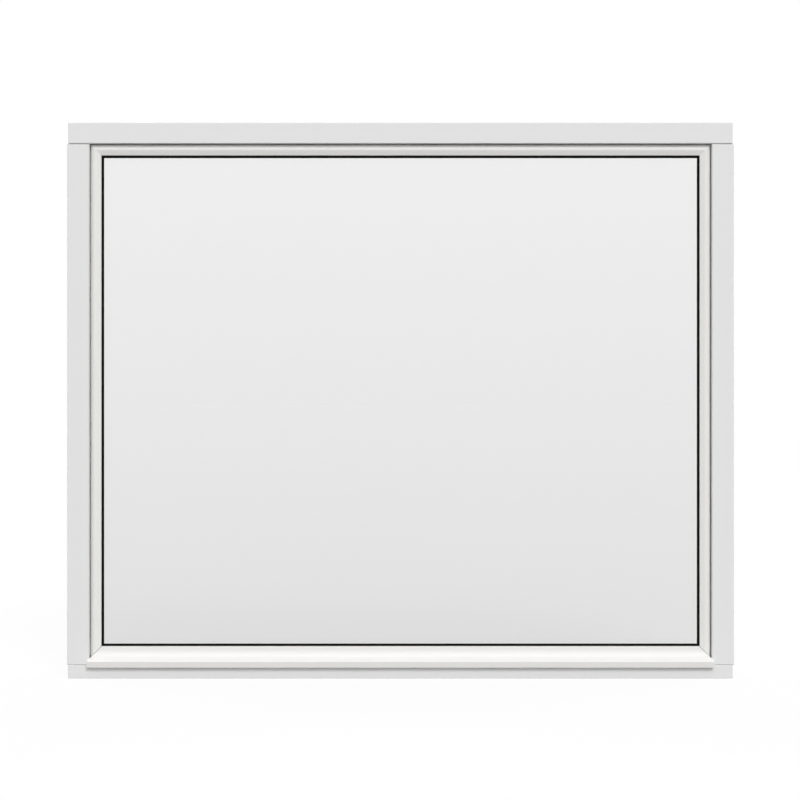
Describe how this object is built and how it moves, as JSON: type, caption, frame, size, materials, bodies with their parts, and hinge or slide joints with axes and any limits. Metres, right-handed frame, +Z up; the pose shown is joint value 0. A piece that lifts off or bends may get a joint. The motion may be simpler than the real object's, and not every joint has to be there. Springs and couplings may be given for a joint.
{
  "type": "fixed picture window",
  "caption": "Fixed-light window: white painted timber frame, sealed triple glazing held by mitred aluminium beads with black gaskets, and a sloped bottom bead with a drip nose over the sill.",
  "frame": {"origin": "middle of the sill's flat underside, halfway through the depth of the timber frame", "axes": "X along the sill to the right seen from outside, Y from outside to the room, Z up"},
  "size_m": [1.2, 0.114, 1],
  "materials": {
    "painted_timber": "satin",
    "coated_aluminium": "satin",
    "white_plastic": "satin",
    "gasket_rubber": "matte",
    "clear_glass": "polished",
    "spacer_plastic": "matte",
    "edge_sealant": "matte",
    "block_plastic": "matte"
  },
  "bodies": {
    "root": {"frame_head": "painted_timber", "frame_jamb_left": "painted_timber", "frame_jamb_right": "painted_timber", "frame_sill": "painted_timber", "bead_top": "coated_aluminium", "bead_left": "coated_aluminium", "bead_right": "coated_aluminium", "bead_bottom": "coated_aluminium", "nose_cap_left": "white_plastic", "nose_cap_right": "white_plastic", "outer_gasket_top": "gasket_rubber", "outer_gasket_left": "gasket_rubber", "outer_gasket_right": "gasket_rubber", "outer_gasket_bottom": "gasket_rubber", "inner_gasket_top": "gasket_rubber", "inner_gasket_left": "gasket_rubber", "inner_gasket_right": "gasket_rubber", "inner_gasket_bottom": "gasket_rubber", "pane_outer": "clear_glass", "pane_middle": "clear_glass", "pane_inner": "clear_glass", "spacer_outer": "spacer_plastic", "spacer_inner": "spacer_plastic", "edge_seal_outer": "edge_sealant", "edge_seal_inner": "edge_sealant", "setting_block_left": "block_plastic", "setting_block_right": "block_plastic"}
  },
  "joints": []
}
